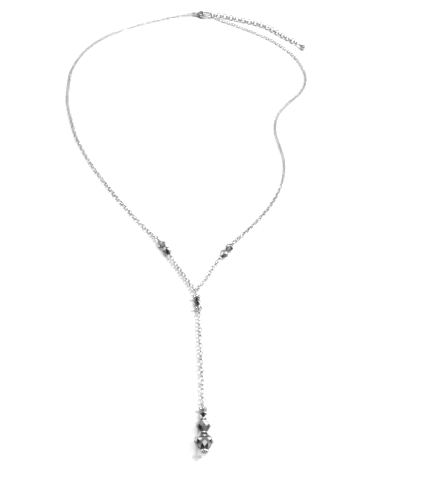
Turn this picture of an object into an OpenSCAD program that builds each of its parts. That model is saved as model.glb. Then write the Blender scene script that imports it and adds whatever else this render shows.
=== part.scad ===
// Y necklace laid flat: a fine cable chain with two pairs of cut beads, a beaded drop,
// a lobster clasp and an extender. Millimetres, +Z up. The origin is in the middle of
// the outline, on the surface that it rests on, and the drop points to -Y.

/* [Chain] */
// Wire of an oval chain link
link_wire = 0.35; // [0.3:0.01:0.37]
// Length of an oval chain link, outside
link_len = 2.3; // [2.2:0.01:2.45]
// Width of an oval chain link, outside
link_w = 1.6; // [1.55:0.01:1.7]
// Length of the drop chain, from the eye above it to the ring below it
drop_len = 32.6; // [26:0.2:33.4]

/* [Bead pairs] */
// Distance along the chain from the junction to the middle of each pair
pair_at = 22.5; // [19:0.5:25]
// Diameter of a pair bead
pair_d = 3.5; // [3:0.1:4]
// Length of a pair bead
pair_len = 3.6; // [3:0.1:4]

/* [Y piece] */
// Diameter of the cut bead in the Y piece
y_bead_d = 3; // [2.6:0.1:3.2]
// Length of the cut bead in the Y piece
y_bead_len = 3.1; // [2.4:0.1:3.4]
// Diameter of a flower cap over its petals
cap_d = 3.2; // [3:0.1:3.6]
// Thickness of a flower cap
cap_t = 1.25; // [1:0.05:1.4]

/* [Pendant] */
// Diameter of the top flower cap
top_cap_d = 3; // [2.8:0.1:3.2]
// Diameter of the small bead
small_d = 2.9; // [2.6:0.1:3.1]
// Length of the small bead
small_len = 2.5; // [2.3:0.1:2.8]
// Diameter of the middle bead
middle_d = 4.6; // [4.2:0.1:4.6]
// Length of the middle bead
middle_len = 3.7; // [3.4:0.1:4]
// Diameter of the large bead
large_d = 6.1; // [6:0.1:6.5]
// Length of the large bead
large_len = 4.7; // [4.4:0.1:4.9]
// Thickness of the disc between the small and the middle bead
disc_t = 0.5; // [0.4:0.05:0.6]
// Thickness of the round spacer between the middle and the large bead
spacer_t = 0.8; // [0.7:0.05:0.9]
// Thickness of the flower under the large bead
foot_t = 1.4; // [1.1:0.05:1.5]

/* [Pins] */
// Wire of the eye pins and the head pin
pin_wire = 0.45; // [0.4:0.01:0.5]
// Radius of a pin's eye, to the middle of its wire
eye_r = 0.7; // [0.68:0.01:0.75]
// Radius of the pendant pin's eye, to the middle of its wire
pendant_eye_r = 0.85; // [0.8:0.01:0.9]
// Hole through every bead and cap
bore_d = 0.72; // [0.7:0.01:0.8]

/* [Clasp] */
// Length of the clasp from its eye's centre to the bend of its nose
clasp_len = 6.7; // [6.6:0.05:7]
// Thickness of the clasp's body
clasp_t = 2.4; // [2.3:0.05:2.5]
// Radius of the nose, to the middle of its round section
nose_r = 2.1; // [2:0.01:2.2]
// Thickness of the nose and of the spine
nose_d = 0.9; // [0.8:0.02:0.9]
// Diameter of the rivet that the lever turns on
rivet_d = 0.8; // [0.7:0.02:0.84]
// Thickness of the lever
lever_t = 0.9; // [0.8:0.02:1]

/* [Extender] */
// Outside diameter of a round extender link
hoop_d = 3; // [2.8:0.05:3.1]
// Wire of a round extender link
hoop_wire = 0.45; // [0.4:0.01:0.5]
// Diameter of the drop at the extender's end
tag_d = 2.8; // [2.4:0.1:3.2]
// Length of the drop at the extender's end, without its eye
tag_len = 4.6; // [4:0.1:5]

/* [Hidden] */
$fn = 48;

silver = [0.83, 0.84, 0.86];
crystal = [0.27, 0.28, 0.31];

// Clear space between linked wires, where a chain hangs on an eye or ring, and between
// pieces that are threaded on a pin
gap = 0.1;
hang_gap = 0.14;
play = 0.08;

// Where the two sides of the neck loop meet the drop
junction = [-5, -62];

// Headings of the Y piece, of the drop chain and of the pendant, from +X
y_heading = -84;
drop_heading = -90.5;
pendant_heading = -92;

// The chain lies at this height and climbs to what it hangs on over this distance. In the
// front and in the drop it is pulled straight between pieces that hold it up, at held_z
chain_z = link_w / 2;
climb = 5;
held_z = 1.4;
link_pitch = link_len - 2 * link_wire - gap;
link_half = (link_len - link_wire) / 2;

// The drop chain's links lie rolled over by this angle, and so are seen half open
drop_lean = 45;

// Segments of a link's bend, sides of its wire, and links over which a lean builds up
LINK_ARC = 6;
WIRE_SIDES = 6;
LEAN_LINKS = 5;

// The tube that stands for the chain behind the beads, eight sides with one flat down
TUBE_SIDES = 8;
tube_flat = link_w / 2 + 0.01;
tube_r = tube_flat / cos(180 / TUBE_SIDES);
tube_step = 5;
tube_clear = 0.3;

// Cut of the small and of the large beads: number of sides, and the radii of the ends and
// of the middle of each cone as shares of the diameter
SMALL_SIDES = 6;
LARGE_SIDES = 8;
SMALL_CUT = [SMALL_SIDES, 0.2, 0.38];
LARGE_CUT = [LARGE_SIDES, 0.24, 0.41];

// Length of the cutter of a hole, longer than any piece is thick
through = 30;

// Bead pairs: the pin's half length between its eyes' centres, its height, and how far a
// bead is turned about it
eye_reach = eye_r + pin_wire / 2 + play;
pair_half = eye_reach + pair_len + gap / 2;
pair_z = pair_d / 2;
pair_roll = 14;

// Rings of the joints: radius to the middle of the wire, and wire
junction_ring_r = 0.95;
joint_wire = link_wire;
pendant_ring_r = 1;

// Y piece: the height of its axis, and the distances along it from the junction
y_z = cap_d / 2;
y_eye_at = junction_ring_r + eye_r - (joint_wire + pin_wire) / 2 - gap;
y_cap_at = y_eye_at + eye_reach + cap_t / 2;
y_bead_at = y_cap_at + cap_t / 2 + play + y_bead_len / 2;
y_low_cap_at = y_bead_at + y_bead_len / 2 + play + cap_t / 2;
y_end_at = y_low_cap_at + cap_t / 2 + eye_reach;

// Flowers: petals, and a petal's diameter as a share of the flower's thickness
PETALS = 6;
petal_share = 0.86;

// Pendant: sizes of its top cap, foot flower and pin head, and distances along its pin
// from the eye's centre
top_cap_t = 1.3;
foot_d = 2.9;
head_t = 0.45;
head_d = 1.3;
top_cap_at = pendant_eye_r + pin_wire / 2 + play + top_cap_t / 2;
small_at = top_cap_at + top_cap_t / 2 + play + small_len / 2;
disc_at = small_at + small_len / 2 + play + disc_t / 2;
middle_at = disc_at + disc_t / 2 + play + middle_len / 2;
spacer_at = middle_at + middle_len / 2 + play + spacer_t / 2;
large_at = spacer_at + spacer_t / 2 + play + large_len / 2;
foot_at = large_at + large_len / 2 + play + foot_t / 2;
head_at = foot_at + foot_t / 2 + play;

// The pendant leans on its large bead and its top cap, so its pin slopes
pendant_slope = asin((large_d - top_cap_d) / 2 / (large_at - top_cap_at));
top_petal_d = top_cap_t * petal_share;
pendant_z = (top_cap_d - top_petal_d) / 2 * cos(pendant_slope) + top_petal_d / 2
    - top_cap_at * sin(pendant_slope);

// Clasp, in its own frame: the eye at the origin, the nose to +X, the lever on the -Y side
clasp_at = [2.6, 119.2];
clasp_heading = -1.5;
clasp_z = clasp_t / 2;
clasp_eye_r = 0.95;
clasp_eye_wire = 0.84;
lever_pivot = [2.9, -1.25];
lever_tip_x = clasp_len - nose_d - 0.2;
lever_tip_r = nose_d / 2;
lever_boss_r = 0.8;
lug_at = [3.9, -2.5];
lug_r = 0.45;
slot_t = lever_t + 0.2;
rivet_fit = 0.02;
lever_fit = 0.05;

// Ring in the clasp's eye, standing on edge, and ring round the clasp's nose, leaning and
// pulled forward a little by what hangs on it
clasp_ring_r = 0.9;
clasp_ring_wire = 0.4;
clasp_ring_x = (clasp_eye_wire + clasp_ring_wire) / 2 + gap - clasp_eye_r - clasp_ring_r;
end_ring_r = 1.4;
end_ring_wire = 0.44;
end_ring_lean = 50;
end_ring_pull = 0.2;
end_ring_x = clasp_len + nose_r + end_ring_pull;
end_ring_z = end_ring_r * sin(end_ring_lean) + end_ring_wire / 2;
ring_seat = clasp_at + clasp_ring_x * heading(clasp_heading);
end_seat = clasp_at + end_ring_x * heading(clasp_heading);

// The extender's drop: its eye and the heading of its length
tag_eye = [56.8, 97.2];
tag_heading = -50;

// The left side of the loop, from the junction to the clasp's ring
left_route = [junction, [-9, -55], [-13, -48], [-17.5, -40], [-23.5, -32.5],
    [-31.5, -22], [-38, -12.5], [-44.5, -2], [-49.5, 7.5], [-54, 18], [-57, 29],
    [-59.5, 41], [-60, 53], [-59.5, 64], [-56.5, 75], [-52, 84], [-45.5, 92.5],
    [-37.5, 99.5], [-27.5, 106.5], [-17, 112], [-6.5, 117], ring_seat];

// The right side of the loop, from the junction to the ring in the clasp's nose
right_route = [junction, [-0.5, -56], [2.7, -50.5], [6.7, -45], [12.5, -37.5], [18.3, -31.3],
    [24.5, -24], [30, -16], [34, -8], [36.7, 1], [37.5, 10], [36.5, 19.5], [36, 28],
    [38.5, 38], [44.5, 47], [52.5, 56.5], [56.7, 66.5], [56.5, 77], [52.5, 88],
    [44.5, 98], [34.5, 105.5], [24, 111.5], [18, 114.5], [15, 116.2], end_seat];

// The extender, from the ring in the clasp's nose to the eye of its drop
extender_route = [end_seat, [15.5, 119], [20.5, 118.3], [27, 116.5], [33, 115],
    [37.5, 113.5], [42, 111], [47, 106.5], [53, 101], tag_eye];

// Extender links: alternate links lean to either side
hoop_r = (hoop_d - hoop_wire) / 2;
hoop_pitch = 1.85;
hoop_lean = 45;
hoop_z = hoop_r * sin(hoop_lean) + hoop_wire / 2;
tag_eye_r = 0.8;

// Unit vector at an angle from +X in the plane of the surface
function heading(a) = [cos(a), sin(a)];

// Same point with a height
function lift(p, z) = [p.x, p.y, z];

// Point at t, from 0 to 1, on the smooth curve between points i and i + 1 of p
function bend(p, i, t) =
    let (a = p[max(i - 1, 0)], b = p[i], c = p[i + 1], d = p[min(i + 2, len(p) - 1)])
    b + (c - a) * t / 2 + (2 * a - 5 * b + 4 * c - d) * t * t / 2
    + (3 * b - a - 3 * c + d) * t * t * t / 2;

// Smooth curve through the points p, as a fine line of points
CURVE_STEPS = 8;
function curve(p) = [for (k = [0:(len(p) - 1) * CURVE_STEPS - 1])
    bend(p, floor(k / CURVE_STEPS), (k % CURVE_STEPS) / CURVE_STEPS), p[len(p) - 1]];

// Length along the line c up to each of its points
function lengths(c) = [for (i = 0, s = 0; i < len(c);
    i = i + 1, s = s + (i < len(c) ? norm(c[i] - c[i - 1]) : 0)) s];

// Line c with its lengths: [length, point] in each row
function track(c) = let (s = lengths(c)) [for (i = [0:len(c) - 1]) [s[i], c[i]]];
function track_len(t) = t[len(t) - 1][0];

// Point at distance d along the track t
function at(t, d) = [for (axis = [0:len(t[0][1]) - 1])
    lookup(d, [for (row = t) [row[0], row[1][axis]]])];

// Direction of the track t at distance d
function toward(t, d) = let (v = at(t, d + 0.3) - at(t, d - 0.3)) v / norm(v);

// Falls smoothly from 1 to 0 as u goes from 0 to 1
function fall(u) = u >= 1 ? 0 : (1 - u) * (1 - u) * (1 + 2 * u);

// Track in space over the plan track t from d0 to d1: it starts at height z0, ends at z1
// and lies at height z in between
function run(t, d0, d1, z0, z, z1) =
    let (n = ceil((d1 - d0) * 2))
    track([for (k = [0:n]) let (d = d0 + (d1 - d0) * k / n)
        lift(at(t, d), z + (z0 - z) * fall((d - d0) / climb) + (z1 - z) * fall((d1 - d) / climb))]);

left_track = track(curve(left_route));
right_track = track(curve(right_route));
extender_track = track(curve(extender_route));

// Places of the Y piece and the pendant
function y_place(d) = lift(junction + d * heading(y_heading), y_z);
drop_start = y_place(y_end_at);
pendant_ring_at = lift([drop_start.x, drop_start.y] + drop_len * heading(drop_heading), pendant_z);
pendant_at = pendant_ring_at + lift((pendant_ring_r + pendant_eye_r
    - (joint_wire + pin_wire) / 2 - gap) * heading(pendant_heading), 0);

// Seats its children at p with their x axis along direction v, turned about it by roll
module seat(p, v, roll = 0) {
    translate(p)
    rotate([0, -asin(v.z), atan2(v.y, v.x)])
    rotate([roll, 0, 0])
    children();
}

// Round ring of wire lying flat, r to the middle of the wire
module hoop(r, wire) {
    rotate_extrude()
    translate([r, 0])
    circle(d = wire);
}

// Triangles between rings of m points each, n rings; a closed band joins the last to the first
function band(n, m, closed) = [for (k = [0:n - (closed ? 1 : 2)]) for (j = [0:m - 1])
    let (a = k * m, b = (k + 1) % n * m, i = (j + 1) % m)
    each [[a + j, b + j, b + i], [a + j, b + i, a + i]]];

// Oval link of round wire, its length along x and its width along y
module oval_link() {
    r = (link_w - link_wire) / 2;
    c = (link_len - link_w) / 2;
    points = [for (end = [0, 1]) for (k = [0:LINK_ARC]) for (j = [0:WIRE_SIDES - 1])
        let (a = end * 180 - 90 + k * 180 / LINK_ARC, w = j * 360 / WIRE_SIDES,
             out = r + link_wire / 2 * cos(w))
        [(end == 0 ? c : -c) + out * cos(a), out * sin(a), link_wire / 2 * sin(w)]];
    polyhedron(points, band(2 * (LINK_ARC + 1), WIRE_SIDES, true));
}

// Chain of oval links along track t; first and last are the distances from the track's
// ends to the first and last link's centre, roll0 and roll1 those links' rolls, and lean
// is how far the links between them are rolled over, which builds up link by link
module oval_chain(t, first, last, roll0, roll1, lean = 0) {
    span = track_len(t) - first - last;
    n = ceil(span / link_pitch);
    twist = (roll1 - roll0 - n * 90) % 180;
    ease = twist > 90 ? twist - 180 : twist < -90 ? twist + 180 : twist;
    for (i = [0:n]) {
        d = first + span * i / n;
        over = lean * min(1, i / LEAN_LINKS, (n - i) / LEAN_LINKS);
        seat(at(t, d), toward(t, d), roll0 + i * (90 + ease / n) + over) oval_link();
    }
}

// Distance from the centre of a ring or eye to the centre of the oval link hung on it
function hang(r, wire) = r - (wire + link_wire) / 2 - hang_gap + link_half;

// Track of a front chain, from the junction ring to the lower eye of a bead pair
function front_run(t) = run(t, 0, pair_at - pair_half, y_z, held_z, pair_z);

module front_chain(t) {
    oval_chain(front_run(t), hang(junction_ring_r, joint_wire), hang(eye_r, pin_wire), 90, 0);
}

// Tube along the track t, eight-sided with flat sides below and above
module tube(t) {
    n = ceil(track_len(t) / tube_step);
    points = [for (k = [0:n]) let (d = track_len(t) * k / n, p = at(t, d), v = toward(t, d))
        for (j = [0:TUBE_SIDES - 1]) let (a = (j + 0.5) * 360 / TUBE_SIDES)
        p + tube_r * [-v.y * cos(a), v.x * cos(a), sin(a)]];
    ends = [[for (j = [0:TUBE_SIDES - 1]) j], [for (j = [TUBE_SIDES - 1:-1:0]) n * TUBE_SIDES + j]];
    polyhedron(points, concat(band(n + 1, TUBE_SIDES, false), ends));
}

// Back chain on track t, from the upper eye of a bead pair to the ring r1, at height z1
module back_chain(t, r1, z1) {
    start = pair_at + pair_half + eye_r + pin_wire / 2 + tube_clear;
    end = track_len(t) - r1 - tube_clear;
    tube(run(t, start, end, pair_z, tube_flat, z1));
}

// Cut bead along x with flat ends and a hole: rows of [x, radius, turn] with n points each,
// a turn of 0.5 setting a row's points between those of the next row
module cut_bead(rows, n) {
    points = [for (row = rows) for (j = [0:n - 1]) let (a = (j + row[2]) * 360 / n)
        [row[0], -row[1] * cos(a), row[1] * sin(a)]];
    sides = [for (k = [0:len(rows) - 2]) for (j = [0:n - 1])
        let (a = k * n, b = a + n, i = (j + 1) % n)
        each rows[k][2] < rows[k + 1][2]
            ? [[a + j, a + i, b + j], [b + j, a + i, b + i]]
            : [[a + j, b + i, b + j], [a + j, a + i, b + i]]];
    last = (len(rows) - 1) * n;
    ends = [[for (j = [n - 1:-1:0]) j], [for (j = [0:n - 1]) last + j]];
    rotate([90, 0, 0])
    difference() {
        polyhedron(points, concat(sides, ends));
        rotate([0, 90, 0])
        cylinder(d = bore_d, h = through, center = true);
    }
}

// Double cone cut in rows of three-sided facets, with a narrow flat girdle
module bicone(d, l, cut) {
    end_r = cut[1] * d;
    cone_r = cut[2] * d;
    cone_x = l * 0.26;
    girdle_x = l * 0.03;
    cut_bead([[-l / 2, end_r, 0], [-cone_x, cone_r, 0.5], [-girdle_x, d / 2, 0],
        [girdle_x, d / 2, 0], [cone_x, cone_r, 0.5], [l / 2, end_r, 0]], cut[0]);
}

// Flower of six round petals on a hub, along x, one petal down
module flower(d, t) {
    petal_d = t * petal_share;
    rotate([0, 90, 0])
    difference() {
        union() {
            cylinder(d = d - petal_d * 1.1, h = t * 0.66, center = true);
            for (i = [0:PETALS - 1]) {
                rotate(i * 360 / PETALS)
                translate([(d - petal_d) / 2, 0, 0])
                sphere(d = petal_d);
            }
        }
        cylinder(d = bore_d, h = through, center = true);
    }
}

// Wire along x from x0 to x1
module wire(x0, x1) {
    translate([x0, 0, 0])
    rotate([0, 90, 0])
    cylinder(d = pin_wire, h = x1 - x0);
}

// Eye of a pin, upright, with its centre at x
module eye(x, r) {
    translate([x, 0, 0])
    rotate([90, 0, 0])
    hoop(r, pin_wire);
}

// Seats its children at the middle of the bead pair on track t
module pair_seat(t) {
    a = at(t, pair_at - pair_half);
    b = at(t, pair_at + pair_half);
    v = (b - a) / norm(b - a);
    seat(lift((a + b) / 2, pair_z), lift(v, 0)) children();
}

module pair_pin(t) {
    pair_seat(t) {
        eye(-pair_half, eye_r);
        eye(pair_half, eye_r);
        wire(eye_r - pair_half, pair_half - eye_r);
    }
}

// Bead of a pair: up is 1 for the one nearer the clasp and -1 for the other
module pair_bead(t, up) {
    pair_seat(t)
    translate([up * (pair_len + gap) / 2, 0, 0])
    rotate([up * pair_roll, 0, 0])
    bicone(pair_d, pair_len, SMALL_CUT);
}

// Seats its children on the Y piece at distance d from the junction
module y_seat(d) {
    seat(y_place(d), lift(heading(y_heading), 0)) children();
}

// Seats its children on the pendant's pin at distance d from its eye
module pendant_seat(d) {
    v = lift(cos(pendant_slope) * heading(pendant_heading), sin(pendant_slope));
    seat(pendant_at + d * v, v) children();
}

// Seats its children in the clasp's frame, at half the clasp's thickness
module clasp_seat() {
    translate(lift(clasp_at, clasp_z))
    rotate(clasp_heading)
    children();
}

module left_back_chain() {
    color(silver)
    back_chain(left_track, clasp_ring_r + clasp_ring_wire / 2, clasp_z);
}

module right_back_chain() {
    color(silver)
    back_chain(right_track, end_ring_r + end_ring_wire / 2, tube_flat);
}

module left_front_chain() {
    color(silver)
    front_chain(left_track);
}

module right_front_chain() {
    color(silver)
    front_chain(right_track);
}

module drop_chain() {
    plan = track([[drop_start.x, drop_start.y], [pendant_ring_at.x, pendant_ring_at.y]]);
    t = run(plan, 0, drop_len, y_z, held_z, pendant_z);
    color(silver)
    oval_chain(t, hang(eye_r, pin_wire), hang(pendant_ring_r, joint_wire), 0, 90, drop_lean);
}

module extender_chain() {
    t = run(extender_track, 0, track_len(extender_track), end_ring_z, hoop_z, tag_d / 2);
    first = end_ring_r - (end_ring_wire + hoop_wire) / 2 - gap + hoop_r;
    last = tag_eye_r - hoop_wire - gap + hoop_r;
    span = track_len(t) - first - last;
    n = ceil(span / hoop_pitch / 2) * 2;
    color(silver)
    for (i = [0:n]) {
        d = first + span * i / n;
        seat(at(t, d), toward(t, d), (i % 2 == 0 ? -1 : 1) * hoop_lean) hoop(hoop_r, hoop_wire);
    }
}

// Half of the body's round bulk: balls of the clasp's thickness round the slot
module clasp_bulk() {
    hull() {
        for (p = [[1.9, 0], [3.3, nose_r + nose_d / 2 - clasp_z], lever_pivot]) {
            translate(p)
            sphere(d = clasp_t, $fn = 24);
        }
    }
}

module clasp_body() {
    color(silver)
    clasp_seat()
    difference() {
        union() {
            hoop(clasp_eye_r, clasp_eye_wire);
            clasp_bulk();
            translate([3, nose_r, 0])
            rotate([0, 90, 0])
            cylinder(d = nose_d, h = clasp_len - 3);
            translate([clasp_len, 0, 0])
            rotate(-90)
            rotate_extrude(angle = 180)
            translate([nose_r, 0])
            circle(d = nose_d);
            translate([clasp_len, -nose_r, 0])
            sphere(d = nose_d);
        }
        translate([1.85, -4, -slot_t / 2])
        cube([4, 4.35, slot_t]);
        translate(lever_pivot)
        cylinder(d = rivet_d + 2 * rivet_fit, h = through, center = true);
        cylinder(r = clasp_eye_r - clasp_eye_wire / 2 - 0.01, h = through, center = true);
    }
}

module clasp_rivet() {
    color(silver)
    clasp_seat()
    translate(lever_pivot)
    cylinder(d = rivet_d, h = clasp_t - 0.1, center = true);
}

module clasp_lever() {
    tip = [lever_tip_x, -nose_r];
    v = (tip - lever_pivot) / norm(tip - lever_pivot);
    side = [-v.y, v.x];
    arm = 0.94;
    color(silver)
    clasp_seat()
    translate([0, 0, -lever_t / 2])
    difference() {
        linear_extrude(lever_t)
        union() {
            translate(lever_pivot)
            circle(r = lever_boss_r);
            translate(tip)
            circle(r = lever_tip_r);
            polygon([lever_pivot + arm * lever_boss_r * side, lever_pivot - arm * lever_boss_r * side,
                tip - arm * lever_tip_r * side, tip + arm * lever_tip_r * side]);
            translate(lug_at)
            circle(r = lug_r);
            translate(lug_at - [arm * lug_r, 0])
            square([2 * arm * lug_r, lever_pivot.y - lug_at.y]);
        }
        translate(lever_pivot)
        cylinder(d = rivet_d + 2 * lever_fit, h = through, center = true);
    }
}

module clasp_ring() {
    color(silver)
    clasp_seat()
    translate([clasp_ring_x, 0, 0])
    rotate([90, 0, 0])
    hoop(clasp_ring_r, clasp_ring_wire);
}

module end_ring() {
    color(silver)
    clasp_seat()
    translate([end_ring_x, 0, end_ring_z - clasp_z])
    rotate([end_ring_lean, 0, 0])
    hoop(end_ring_r, end_ring_wire);
}

// Outline of the extender's drop, from its neck to its round end
function tag_outline(n) = [for (k = [0:n]) let (u = k / n)
    [u == 1 ? 0 : max(tag_d / 2 * pow(sin(90 * pow(u, 0.9)), 1.2) * sqrt(1 - pow(u, 8)), 0.3), u * tag_len]];

module extender_tag() {
    v = lift(heading(tag_heading), 0);
    neck = tag_eye_r + hoop_wire / 2 - 0.15;
    color(silver)
    seat(lift(tag_eye, tag_d / 2), v) {
        rotate([hoop_lean, 0, 0])
        hoop(tag_eye_r, hoop_wire);
        translate([neck, 0, 0])
        rotate([0, 90, 0])
        rotate_extrude()
        polygon(concat([[0, 0]], tag_outline(16)));
    }
}

module left_bead_pin() { color(silver) pair_pin(left_track); }
module left_upper_bead() { color(crystal) pair_bead(left_track, 1); }
module left_lower_bead() { color(crystal) pair_bead(left_track, -1); }
module right_bead_pin() { color(silver) pair_pin(right_track); }
module right_upper_bead() { color(crystal) pair_bead(right_track, 1); }
module right_lower_bead() { color(crystal) pair_bead(right_track, -1); }

module junction_ring() {
    color(silver)
    translate(lift(junction, y_z))
    hoop(junction_ring_r, joint_wire);
}

module y_pin() {
    color(silver)
    y_seat(0) {
        eye(y_eye_at, eye_r);
        eye(y_end_at, eye_r);
        wire(y_eye_at + eye_r, y_end_at - eye_r);
    }
}

module y_upper_cap() { color(silver) y_seat(y_cap_at) flower(cap_d, cap_t); }
module y_bead() { color(crystal) y_seat(y_bead_at) bicone(y_bead_d, y_bead_len, SMALL_CUT); }
module y_lower_cap() { color(silver) y_seat(y_low_cap_at) flower(cap_d, cap_t); }

module pendant_ring() {
    color(silver)
    translate(pendant_ring_at)
    hoop(pendant_ring_r, joint_wire);
}

module pendant_pin() {
    color(silver)
    pendant_seat(0) {
        eye(0, pendant_eye_r);
        wire(pendant_eye_r, head_at + head_t / 2);
        translate([head_at, 0, 0])
        rotate([0, 90, 0])
        cylinder(d = head_d, h = head_t);
    }
}

module pendant_cap() { color(silver) pendant_seat(top_cap_at) flower(top_cap_d, top_cap_t); }
module small_bead() { color(crystal) pendant_seat(small_at) bicone(small_d, small_len, SMALL_CUT); }

module disc_spacer() {
    rim_r = 1;
    color(silver)
    pendant_seat(disc_at)
    rotate([0, 90, 0])
    difference() {
        union() {
            hoop(rim_r, disc_t);
            cylinder(r = rim_r, h = disc_t * 0.9, center = true);
        }
        cylinder(d = bore_d, h = through, center = true);
    }
}

module middle_bead() { color(crystal) pendant_seat(middle_at) bicone(middle_d, middle_len, LARGE_CUT); }

module round_spacer() {
    color(silver)
    pendant_seat(spacer_at)
    rotate([0, 90, 0])
    hoop((bore_d + spacer_t) / 2, spacer_t);
}

module large_bead() { color(crystal) pendant_seat(large_at) bicone(large_d, large_len, LARGE_CUT); }
module foot_flower() { color(silver) pendant_seat(foot_at) flower(foot_d, foot_t); }

left_back_chain();
right_back_chain();
left_front_chain();
right_front_chain();
drop_chain();
extender_chain();
clasp_body();
clasp_rivet();
clasp_lever();
clasp_ring();
end_ring();
extender_tag();
left_bead_pin();
left_upper_bead();
left_lower_bead();
right_bead_pin();
right_upper_bead();
right_lower_bead();
junction_ring();
y_pin();
y_upper_cap();
y_bead();
y_lower_cap();
pendant_ring();
pendant_pin();
pendant_cap();
small_bead();
disc_spacer();
middle_bead();
round_spacer();
large_bead();
foot_flower();
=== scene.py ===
import math
import random
import bpy
from mathutils import Matrix, Vector


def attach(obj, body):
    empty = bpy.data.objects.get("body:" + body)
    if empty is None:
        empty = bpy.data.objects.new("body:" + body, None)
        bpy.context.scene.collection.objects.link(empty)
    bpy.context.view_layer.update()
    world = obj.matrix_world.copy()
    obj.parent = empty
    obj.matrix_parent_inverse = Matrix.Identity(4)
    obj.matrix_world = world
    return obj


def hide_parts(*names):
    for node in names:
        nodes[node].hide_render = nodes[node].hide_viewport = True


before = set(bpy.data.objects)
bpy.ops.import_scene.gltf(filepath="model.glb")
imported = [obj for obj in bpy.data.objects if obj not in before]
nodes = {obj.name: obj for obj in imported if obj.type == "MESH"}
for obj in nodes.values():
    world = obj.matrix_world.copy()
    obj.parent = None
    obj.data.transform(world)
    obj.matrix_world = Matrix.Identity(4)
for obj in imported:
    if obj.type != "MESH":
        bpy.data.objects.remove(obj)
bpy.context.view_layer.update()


# Clasp
# A small lobster clasp of cast brass, tumbled and bright plated. The body holds a lever
# that turns on a rivet under a spring, and the rivet's ends are filed flush.
def plated_brass(name, bright, dull, roughness, drift, wear):
    """Plating over brass: its tone and gloss drift, and fine wear roughens it.

    drift and wear are how fine those two patterns are: their clouds on a metre, roughly.
    """
    plate = bpy.data.materials.new(name)
    plate.use_nodes = True
    net = plate.node_tree
    shader = net.nodes["Principled BSDF"]
    shader.inputs["Metallic"].default_value = 1.0
    place = net.nodes.new("ShaderNodeTexCoord")

    clouds = net.nodes.new("ShaderNodeTexNoise")
    clouds.inputs["Scale"].default_value = drift
    clouds.inputs["Detail"].default_value = 3.0
    net.links.new(place.outputs["Object"], clouds.inputs["Vector"])

    tone = net.nodes.new("ShaderNodeValToRGB")
    stops = tone.color_ramp.elements
    stops[0].position = 0.35
    stops[0].color = (*dull, 1)
    stops[1].position = 0.6
    stops[1].color = (*bright, 1)
    net.links.new(clouds.outputs["Fac"], tone.inputs["Fac"])
    net.links.new(tone.outputs["Color"], shader.inputs["Base Color"])

    polish = net.nodes.new("ShaderNodeMapRange")
    polish.inputs["To Min"].default_value = roughness * 1.5
    polish.inputs["To Max"].default_value = roughness * 0.7
    net.links.new(clouds.outputs["Fac"], polish.inputs["Value"])
    net.links.new(polish.outputs["Result"], shader.inputs["Roughness"])

    rubbed = net.nodes.new("ShaderNodeTexNoise")
    rubbed.inputs["Scale"].default_value = wear
    rubbed.inputs["Detail"].default_value = 4.0
    net.links.new(place.outputs["Object"], rubbed.inputs["Vector"])
    bump = net.nodes.new("ShaderNodeBump")
    bump.inputs["Strength"].default_value = 0.12
    bump.inputs["Distance"].default_value = 0.00002
    net.links.new(rubbed.outputs["Fac"], bump.inputs["Height"])
    net.links.new(bump.outputs["Normal"], shader.inputs["Normal"])
    return plate


def finish_nodes(names, material):
    """Gives a finish to pieces that keep their own form."""
    for name in names:
        for slot in nodes[name].material_slots:
            slot.material = material


clasp_plate = plated_brass("clasp_plate", bright=(0.52, 0.52, 0.53), dull=(0.34, 0.34, 0.35),
                           roughness=0.16, drift=500, wear=5000)
finish_nodes(["clasp_body", "clasp_rivet", "clasp_lever"], clasp_plate)


# Rings of the clasp
# Two jump rings of round wire: one through the clasp's eye, which the left side hangs on,
# and one in the clasp's nose, which takes the right side and the extender.
ring_plate = plated_brass("ring_plate", bright=(0.74, 0.74, 0.73), dull=(0.6, 0.6, 0.6),
                          roughness=0.14, drift=800, wear=6000)
finish_nodes(["clasp_ring", "end_ring"], ring_plate)


# Extender
# Round links of plated wire, each leaning on the next. It hangs on the ring in the
# clasp's nose and ends in a plain cast drop.
extender_plate = plated_brass("extender_plate", bright=(0.62, 0.61, 0.6),
                              dull=(0.44, 0.43, 0.42), roughness=0.2, drift=700,
                              wear=6000)
finish_nodes(["extender_chain", "extender_tag"], extender_plate)


# Neck chain
# Fine cable chain of oval links, bent from drawn wire, soldered and bright plated. Links
# stand on edge and lie flat by turns, and the chain lies as it was laid down.
mm = 0.001
link_wire = 0.35 * mm
link_length = 2.3 * mm
link_width = 1.6 * mm
link_half = (link_length - link_wire) / 2

# Room between linked wires, and between a link and the ring or eye that it hangs on
link_gap = 0.1 * mm
hang_gap = 0.14 * mm

# Degrees that links have rolled over, the number of links over which that builds up from
# an end, and the degrees that each link may lie off its true turn
link_lean = 45
lean_links = 5
settle_turn = 7

# Height of the chain's middle where it lies down and where it is held up, and the length
# over which it climbs to what it hangs on
chain_height = link_width / 2
held_height = 1.4 * mm
climb = 5 * mm

# Ring in the clasp's eye: its place in mm along the clasp from the eye, its radius and
# wire, and the height of the link that hangs on it
clasp_ring_along = -1.13
clasp_ring_radius = 0.9 * mm
clasp_ring_wire = 0.4 * mm
clasp_ring_height = 1.2 * mm

# Ring in the clasp's nose: its place, and the distance, height and roll of its link
end_ring_along = 9
end_ring_hang = 1.7 * mm
end_ring_height = 0.55 * mm
end_ring_roll = 42

# Eye pin with a pair of beads: its wire, its eyes, its play, a bead's length, where the
# pair's middle is from the junction and above the surface, and half the length that the
# pair takes up between its eyes
pin_wire = 0.45 * mm
eye_radius = 0.7 * mm
play = 0.08 * mm
bead_length = 3.6 * mm
pair_at = 22.5 * mm
pair_height = 1.75 * mm
pair_half = eye_radius + pin_wire / 2 + play + bead_length + link_gap / 2
past_pair = pair_at + pair_half


def heading(degrees):
    """The direction over the surface at an angle from the extender's side."""
    angle = math.radians(degrees)
    return Vector((math.cos(angle), math.sin(angle)))


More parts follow.
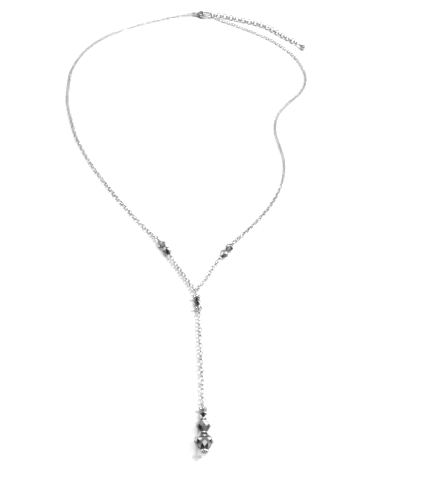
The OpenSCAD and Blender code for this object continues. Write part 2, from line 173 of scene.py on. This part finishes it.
# Routes over the surface in mm, from the junction to the clasp
junction = (-5, -62)
clasp_at = Vector((2.6, 119.2))
along_clasp = heading(-1.5)
left_route = [
    junction, (-9, -55), (-13, -48), (-17.5, -40), (-23.5, -32.5), (-31.5, -22), (-38, -12.5),
    (-44.5, -2), (-49.5, 7.5), (-54, 18), (-57, 29), (-59.5, 41), (-60, 53), (-59.5, 64),
    (-56.5, 75), (-52, 84), (-45.5, 92.5), (-37.5, 99.5), (-27.5, 106.5), (-17, 112),
    (-6.5, 117), clasp_at + clasp_ring_along * along_clasp,
]
right_route = [
    junction, (-0.5, -56), (2.7, -50.5), (6.7, -45), (12.5, -37.5), (18.3, -31.3), (24.5, -24),
    (30, -16), (34, -8), (36.7, 1), (37.5, 10), (36.5, 19.5), (36, 28), (38.5, 38), (44.5, 47),
    (52.5, 56.5), (56.7, 66.5), (56.5, 77), (52.5, 88), (44.5, 98), (34.5, 105.5), (24, 111.5),
    (18, 114.5), (15, 116.2), clasp_at + end_ring_along * along_clasp,
]


def smooth_line(points, steps=8):
    """The smooth curve that a chain takes through its chosen points."""
    p = [Vector(point) * mm for point in points]
    line = []
    for i in range(len(p) - 1):
        a, b, c, d = p[max(i - 1, 0)], p[i], p[i + 1], p[min(i + 2, len(p) - 1)]
        for step in range(steps):
            t = step / steps
            line.append(b + (c - a) * (t / 2) + (2 * a - 5 * b + 4 * c - d) * (t * t / 2)
                        + (3 * b - a - 3 * c + d) * (t * t * t / 2))
    return line + [p[-1]]


class Lay:
    """A line that something lies along, measured by the length from its start."""

    feel = 0.3 * mm
    marks_per_mm = 2

    def __init__(self, line):
        self.line = line
        self.marks = [0.0]
        for a, b in zip(line, line[1:]):
            self.marks.append(self.marks[-1] + (b - a).length)
        self.length = self.marks[-1]

    def at(self, d):
        """The point at a length d from the start."""
        d = min(max(d, 0.0), self.length)
        for i in range(1, len(self.marks)):
            if self.marks[i] >= d:
                break
        share = (d - self.marks[i - 1]) / (self.marks[i] - self.marks[i - 1])
        return self.line[i - 1].lerp(self.line[i], share)

    def toward(self, d):
        """The line's direction there, felt a little to either side."""
        return (self.at(d + self.feel) - self.at(d - self.feel)).normalized()

    def stretch(self, start, end, first_height, height, last_height):
        """The stretch from start to end, lying at a height but for its two ends.

        Within the climb from an end the rise to that end's height falls smoothly away.
        """
        steps = math.ceil((end - start) / mm * self.marks_per_mm)
        line = []
        for k in range(steps + 1):
            d = start + (end - start) * k / steps
            rise = 0.0
            for away, top in ((d - start, first_height), (end - d, last_height)):
                u = min(away / climb, 1.0)
                rise += (top - height) * (1 - u) ** 2 * (1 + 2 * u)
            line.append(self.at(d).to_3d() + Vector((0, 0, height + rise)))
        return Lay(line)


def seat(point, direction, roll):
    """Where a piece sits: its length along the direction, turned about it by the roll."""
    turn = Matrix.Rotation(math.atan2(direction.y, direction.x), 4, "Z")
    tilt = Matrix.Rotation(-math.asin(direction.z), 4, "Y")
    return Matrix.Translation(point) @ turn @ tilt @ Matrix.Rotation(math.radians(roll), 4, "X")


def oval_link(points, faces, at):
    """Adds one soldered link of round wire to a chain's mesh."""
    bend_steps, wire_sides = 9, 10
    bend = (link_width - link_wire) / 2
    straight = (link_length - link_width) / 2
    first = len(points)
    rings = 2 * (bend_steps + 1)
    for ring in range(rings):
        end, step = divmod(ring, bend_steps + 1)
        a = math.pi * (end - 0.5 + step / bend_steps)
        for side in range(wire_sides):
            w = 2 * math.pi * side / wire_sides
            out = bend + link_wire / 2 * math.cos(w)
            x = (straight if end == 0 else -straight) + out * math.cos(a)
            points.append(at @ Vector((x, out * math.sin(a), link_wire / 2 * math.sin(w))))
    for ring in range(rings):
        here, there = first + ring * wire_sides, first + (ring + 1) % rings * wire_sides
        for side in range(wire_sides):
            up = (side + 1) % wire_sides
            faces.append((here + side, there + side, there + up, here + up))


def as_piece(name, points, faces, material):
    """Makes a mesh into a piece that rides on the necklace."""
    mesh = bpy.data.meshes.new(name)
    mesh.from_pydata(points, [], faces)
    mesh.polygons.foreach_set("use_smooth", [True] * len(mesh.polygons))
    mesh.materials.append(material)
    piece = bpy.data.objects.new(name, mesh)
    bpy.context.scene.collection.objects.link(piece)
    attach(piece, "necklace")
    return piece


def cable_chain(name, lay, first, last, first_roll, last_roll, lean=0):
    """A run of linked ovals along a lay, a quarter turned from link to link.

    first and last are how far in from the lay's ends the end links' centres are. What the
    quarter turns leave over between the end links' rolls is shared out among all.
    """
    settle = random.Random(name)
    span = lay.length - first - last
    pitch = link_length - 2 * link_wire - link_gap
    count = math.ceil(span / pitch)
    ease = (last_roll - first_roll - count * 90 + 90) % 180 - 90
    points, faces = [], []
    for i in range(count + 1):
        d = first + span * i / count
        over = lean * min(1, i / lean_links, (count - i) / lean_links)
        roll = first_roll + i * (90 + ease / count) + over
        if 0 < i < count:
            roll += settle.uniform(-settle_turn, settle_turn)
        oval_link(points, faces, seat(lay.at(d), lay.toward(d), roll))
    return as_piece(name, points, faces, chain_plate)


def hang(radius, wire):
    """From a ring's or eye's centre to the centre of the link that hangs on it."""
    return radius - (wire + link_wire) / 2 - hang_gap + link_half


chain_plate = plated_brass("chain_plate", bright=(0.72, 0.71, 0.7), dull=(0.46, 0.45, 0.44),
                           roughness=0.2, drift=420, wear=7000)
from_eye = hang(eye_radius, pin_wire)

left_lay = Lay(smooth_line(left_route))
left_back = left_lay.stretch(past_pair, left_lay.length, pair_height, chain_height,
                             clasp_ring_height)
left_chain = cable_chain("left_neck_chain", left_back, from_eye,
                         hang(clasp_ring_radius, clasp_ring_wire), 0, 0, link_lean)
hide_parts("left_back_chain")

right_lay = Lay(smooth_line(right_route))
right_back = right_lay.stretch(past_pair, right_lay.length, pair_height, chain_height,
                               end_ring_height)
right_chain = cable_chain("right_neck_chain", right_back, from_eye,
                          end_ring_hang, 0, end_ring_roll, link_lean)
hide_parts("right_back_chain")


# Bead pairs
# Two cut glass bicones on an eye pin, in each side of the chain. Each facet is painted black,
# grey or white as a painted reflection of what it faces, crossed by painted edges of the
# facets behind.
def paint_bead_reflections(bead, turn, facets, depth):
    """Glass for a bead with painted reflections: one painted tone for each facet, crossed by
    painted edges of the facets behind.

    turn picks which facets get a bright painted reflection, facets is how far the painted tone
    changes from one facet to the next, and depth is how close together the painted edges behind
    lie.
    """
    glass = bpy.data.materials.new(bead + "_glass")
    glass.use_nodes = True
    net = glass.node_tree
    shader = net.nodes["Principled BSDF"]
    shader.inputs["Metallic"].default_value = 0.3
    shader.inputs["Coat Weight"].default_value = 0.6
    shader.inputs["Coat Roughness"].default_value = 0.02
    place = net.nodes.new("ShaderNodeTexCoord")

    # Painted edges of the facets behind, as if seen through the glass
    behind = net.nodes.new("ShaderNodeVectorMath")
    behind.operation = "MULTIPLY_ADD"
    behind.inputs[1].default_value = (depth, depth, depth)
    behind.inputs[2].default_value = (turn, 2 * turn, 3 * turn)
    net.links.new(place.outputs["Object"], behind.inputs[0])
    facing = net.nodes.new("ShaderNodeVectorMath")
    facing.operation = "MULTIPLY_ADD"
    facing.inputs[1].default_value = (facets, facets, facets)
    net.links.new(place.outputs["Normal"], facing.inputs[0])
    net.links.new(behind.outputs["Vector"], facing.inputs[2])
    painted_reflection = net.nodes.new("ShaderNodeVectorMath")
    painted_reflection.operation = "SINE"
    net.links.new(facing.outputs["Vector"], painted_reflection.inputs[0])
    added = net.nodes.new("ShaderNodeVectorMath")
    added.operation = "DOT_PRODUCT"
    added.inputs[1].default_value = (1, 1, 1)
    net.links.new(painted_reflection.outputs["Vector"], added.inputs[0])
    most = 3.0  # of three sines added up
    share = net.nodes.new("ShaderNodeMapRange")
    share.inputs["From Min"].default_value = -most
    share.inputs["From Max"].default_value = most
    net.links.new(added.outputs["Value"], share.inputs["Value"])

    # The ramp gives the painted reflection tones: black, dark grey, mid grey and white
    tone = net.nodes.new("ShaderNodeValToRGB")
    stops = tone.color_ramp.elements
    stops[0].position = 0.39
    stops[0].color = (0.008, 0.008, 0.009, 1)
    stops[1].position = 0.76
    stops[1].color = (0.8, 0.8, 0.81, 1)
    for position, grey in ((0.46, 0.1), (0.68, 0.25)):
        stops.new(position).color = (grey, grey, grey, 1)
    net.links.new(share.outputs["Result"], tone.inputs["Fac"])
    net.links.new(tone.outputs["Color"], shader.inputs["Base Color"])

    film = net.nodes.new("ShaderNodeTexNoise")
    film.inputs["Scale"].default_value = 450
    net.links.new(place.outputs["Object"], film.inputs["Vector"])
    polish = net.nodes.new("ShaderNodeMapRange")
    polish.inputs["To Min"].default_value = 0.03
    polish.inputs["To Max"].default_value = 0.08
    net.links.new(film.outputs["Fac"], polish.inputs["Value"])
    net.links.new(polish.outputs["Result"], shader.inputs["Roughness"])

    # Lamps shine through the glass to the surface, so that its shadow is faint
    solid, held_back = 1.0, 0.3
    passing = net.nodes.new("ShaderNodeLightPath")
    clear = net.nodes.new("ShaderNodeMapRange")
    clear.inputs["To Min"].default_value = solid
    clear.inputs["To Max"].default_value = held_back
    net.links.new(passing.outputs["Is Shadow Ray"], clear.inputs["Value"])
    net.links.new(clear.outputs["Result"], shader.inputs["Alpha"])
    finish_nodes([bead], glass)


paint_bead_reflections("left_upper_bead", turn=3.4, facets=7, depth=1500)
paint_bead_reflections("left_lower_bead", turn=14.9, facets=3, depth=1500)
paint_bead_reflections("right_upper_bead", turn=25.1, facets=6, depth=1000)
paint_bead_reflections("right_lower_bead", turn=5.2, facets=3, depth=1000)
pin_plate = plated_brass("pin_plate", bright=(0.72, 0.71, 0.7), dull=(0.56, 0.55, 0.54),
                         roughness=0.13, drift=900, wear=7000)
finish_nodes(["left_bead_pin", "right_bead_pin"], pin_plate)


# Front chain
# The same cable chain, from the ring where both sides meet to the bead pairs. It is pulled
# straight between them, so it doesn't touch the surface.
junction_height = 1.6 * mm
junction_ring_radius = 0.95 * mm
ring_wire = link_wire
finish_nodes(["junction_ring"], ring_plate)
for side, lay in (("left", left_lay), ("right", right_lay)):
    front = lay.stretch(0.0, pair_at - pair_half, junction_height, held_height, pair_height)
    chain = cable_chain(side + "_short_chain", front, hang(junction_ring_radius, ring_wire),
                        from_eye, 90, 0)
    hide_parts(side + "_front_chain")


# Y piece
# A cut bead between two cast flower caps, on an eye pin that hangs on the ring where both
# sides meet. The caps are plated brass, as the clasp is.
cap_plate = plated_brass("cap_plate", bright=(0.68, 0.68, 0.67), dull=(0.46, 0.46, 0.46),
                         roughness=0.2, drift=900, wear=5000)
finish_nodes(["y_upper_cap", "y_lower_cap"], cap_plate)
finish_nodes(["y_pin"], pin_plate)
paint_bead_reflections("y_bead", turn=20.8, facets=3, depth=500)


# Drop chain
# The cable chain again, from the eye at the foot of the Y piece to the pendant's ring, and
# pulled straight as the front chain is.
y_length = 8.92 * mm
y_turn = -84
drop_length = 32.6 * mm
drop_turn = -90.5
pendant_height = 1.234 * mm
pendant_ring_radius = 1.0 * mm
finish_nodes(["pendant_ring"], ring_plate)
drop_top = Vector(junction) * mm + y_length * heading(y_turn)
drop_foot = drop_top + drop_length * heading(drop_turn)
drop_lay = Lay([drop_top, drop_foot])
drop = drop_lay.stretch(0.0, drop_length, junction_height, held_height, pendant_height)
drop_links = cable_chain("drop_links", drop, from_eye, hang(pendant_ring_radius, ring_wire),
                         0, 90, link_lean)
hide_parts("drop_chain")


# Pendant
# Three cut beads of growing size on a head pin, parted by a disc and a round spacer, with
# a flower cap above and a flower below.
finish_nodes(["pendant_cap", "disc_spacer", "round_spacer", "foot_flower"], cap_plate)
finish_nodes(["pendant_pin"], pin_plate)
paint_bead_reflections("small_bead", turn=22.2, facets=3, depth=1000)
paint_bead_reflections("middle_bead", turn=16.0, facets=3, depth=500)
paint_bead_reflections("large_bead", turn=30.2, facets=7, depth=2000)


# Surface, light and camera
# A plain white table, a large soft light overhead, and a smaller one from the right that
# throws the short shadows. The camera looks down from the pendant's side.
table_size = 6
table_drop = 0.02 * mm
table = bpy.data.materials.new("white_table")
table.use_nodes = True
table_shader = table.node_tree.nodes["Principled BSDF"]
table_shader.inputs["Base Color"].default_value = (0.9, 0.9, 0.9, 1)
table_shader.inputs["Roughness"].default_value = 0.6
bpy.ops.mesh.primitive_plane_add(size=table_size, location=(0, 0, -table_drop))
floor = bpy.context.object
floor.name = "table_top"
floor.data.materials.append(table)


def soft_light(name, place, aim, width, depth, power):
    """A flat soft light that faces its aim."""
    lamp = bpy.data.lights.new(name, "AREA")
    lamp.shape = "RECTANGLE"
    lamp.size = width
    lamp.size_y = depth
    lamp.energy = power
    light = bpy.data.objects.new(name, lamp)
    light.location = place
    light.rotation_euler = (Vector(aim) - Vector(place)).to_track_quat("-Z", "Y").to_euler()
    bpy.context.scene.collection.objects.link(light)


soft_light("overhead", place=(0, 0.1, 1.3), aim=(0, 0.1, 0), width=1.2, depth=0.8, power=5)
soft_light("from_right", place=(0.6, 0.05, 1.0), aim=(0, 0, 0), width=0.2, depth=0.2, power=9.5)

world = bpy.data.worlds.new("light_tent")
world.use_nodes = True
tent = world.node_tree
direction = tent.nodes.new("ShaderNodeTexCoord")


def tent_glow(side, edge, core, away, facing):
    """The tent's glow away from a side and facing it, with a soft change between.

    edge and core are the cosines where the change begins and ends.
    """
    toward = tent.nodes.new("ShaderNodeVectorMath")
    toward.operation = "DOT_PRODUCT"
    toward.inputs[1].default_value = side
    tent.links.new(direction.outputs["Generated"], toward.inputs[0])
    change = tent.nodes.new("ShaderNodeMapRange")
    change.interpolation_type = "SMOOTHSTEP"
    change.inputs["From Min"].default_value = edge
    change.inputs["From Max"].default_value = core
    change.inputs["To Min"].default_value = away
    change.inputs["To Max"].default_value = facing
    tent.links.new(toward.outputs["Value"], change.inputs["Value"])
    return change.outputs["Result"]


# The tent is dim near the table, and has a dark opening above the pendant's side, which
# the metal and the glass mirror
opening = tent_glow(side=(-0.1, -0.695, 0.712), edge=0.85, core=0.95, away=1.0, facing=0.02)
walls = tent_glow(side=(0, 0, 1), edge=0.3, core=0.8, away=0.25, facing=1.0)
glow = tent.nodes.new("ShaderNodeMath")
glow.operation = "MULTIPLY"
tent.links.new(opening, glow.inputs[0])
tent.links.new(walls, glow.inputs[1])
tent.links.new(glow.outputs["Value"], tent.nodes["Background"].inputs["Color"])
bpy.context.scene.world = world
bpy.context.scene.view_settings.view_transform = "Standard"

# The camera stands above the pendant's side, looks down and a little to the right, and
# is rolled to the left
eye_place = Vector((-25.63, -179.32, 183.6)) * mm
look_down = math.radians(51.6)
look_turn = math.radians(12.176)
head_roll = math.radians(10.755)
ahead = Vector((math.sin(look_turn), math.cos(look_turn), 0))
level_right = Vector((math.cos(look_turn), -math.sin(look_turn), 0))
view_line = math.cos(look_down) * ahead - math.sin(look_down) * Vector((0, 0, 1))
level_up = math.sin(look_down) * ahead + math.cos(look_down) * Vector((0, 0, 1))
right = math.cos(head_roll) * level_right + math.sin(head_roll) * level_up
up = math.cos(head_roll) * level_up - math.sin(head_roll) * level_right
lens = bpy.data.cameras.new("table_camera")
lens.sensor_fit = "VERTICAL"
lens.sensor_height = 36
lens.lens = 44.64
camera = bpy.data.objects.new("table_camera", lens)
camera.matrix_world = Matrix((
    (right.x, up.x, -view_line.x, eye_place.x),
    (right.y, up.y, -view_line.y, eye_place.y),
    (right.z, up.z, -view_line.z, eye_place.z),
    (0, 0, 0, 1),
))
bpy.context.scene.collection.objects.link(camera)
bpy.context.scene.camera = camera
